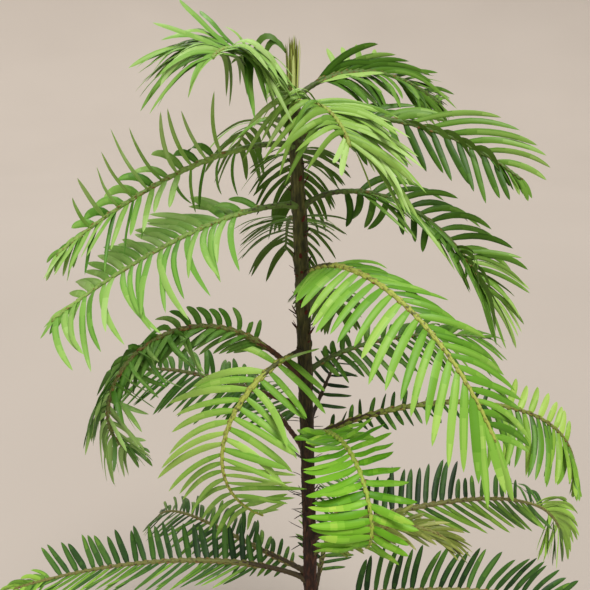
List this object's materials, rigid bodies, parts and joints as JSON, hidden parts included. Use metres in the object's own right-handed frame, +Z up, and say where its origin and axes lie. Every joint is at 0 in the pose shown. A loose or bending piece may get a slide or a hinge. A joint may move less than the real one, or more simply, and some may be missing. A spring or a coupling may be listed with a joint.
{
  "type": "potted wollemi pine",
  "caption": "Young potted wollemi pine: a slim scaly trunk with long arching boughs of flat strap-shaped leaves, standing in a plain dark nursery pot.",
  "frame": {"origin": "middle of the pot's flat underside", "axes": "+Z up along the trunk, +X to the plant's right and +Y to its back as the picture shows it"},
  "size_m": [0.4469, 0.3506, 0.6909],
  "materials": {
    "pot": "black injection-moulded plastic, satin",
    "soil": "coarse bark-based potting mix",
    "bark": "flaky dark red-brown bark, olive green with brown leaf scales near the top",
    "limb": "smooth yellow-green to brown young bark",
    "leaf_mid": "fresh mid-green leaves with a soft sheen",
    "leaf_lime": "bright yellow-green young leaves with a soft sheen",
    "leaf_deep": "deep green leaves with a soft sheen",
    "leaf_dark": "dark blue-green leaves with a soft sheen",
    "leaf_olive": "olive-green leaves with a soft sheen"
  },
  "bodies": {
    "root": {"pot": "pot", "soil": "soil", "trunk": "bark", "leader": "leaf_mid", "bough_top_left": "limb", "spray_top_left": "leaf_mid", "bough_top_right": "limb", "spray_top_right": "leaf_deep", "bough_top_front": "limb", "spray_top_front": "leaf_lime", "bough_top_back": "limb", "spray_top_back": "leaf_mid", "bough_high_right": "limb", "spray_high_right": "leaf_deep", "bough_high_left": "limb", "spray_high_left": "leaf_mid", "bough_high_back": "limb", "spray_high_back": "leaf_deep", "bough_upper_left": "limb", "spray_upper_left": "leaf_mid", "bough_upper_right": "limb", "spray_upper_right": "leaf_deep", "bough_upper_back": "limb", "spray_upper_back": "leaf_deep", "bough_middle_front_right": "limb", "spray_middle_front_right": "leaf_lime", "bough_middle_back": "limb", "spray_middle_back": "leaf_deep", "bough_middle_front_left": "limb", "spray_middle_front_left": "leaf_lime", "bough_middle_right": "limb", "spray_middle_right": "leaf_lime", "bough_middle_left": "limb", "spray_middle_left": "leaf_deep", "bough_lower_left_back": "limb", "spray_lower_left_back": "leaf_dark", "bough_lower_back_right": "limb", "spray_lower_back_right": "leaf_dark", "bough_lower_front_right": "limb", "spray_lower_front_right": "leaf_lime", "bough_lower_right": "limb", "spray_lower_right": "leaf_lime", "bough_lower_back": "limb", "spray_lower_back": "leaf_dark", "bough_low_right": "limb", "spray_low_right": "leaf_dark", "bough_low_front_right": "limb", "spray_low_front_right": "leaf_olive", "bough_low_back_left": "limb", "spray_low_back_left": "leaf_dark", "bough_low_left": "limb", "spray_low_left": "leaf_dark", "bough_bottom_right": "limb", "spray_bottom_right": "leaf_dark", "bough_bottom_back": "limb", "spray_bottom_back": "leaf_dark", "bough_bottom_front_left": "limb", "spray_bottom_front_left": "leaf_dark", "bough_bottom_front": "limb", "spray_bottom_front": "leaf_dark"}
  },
  "joints": []
}
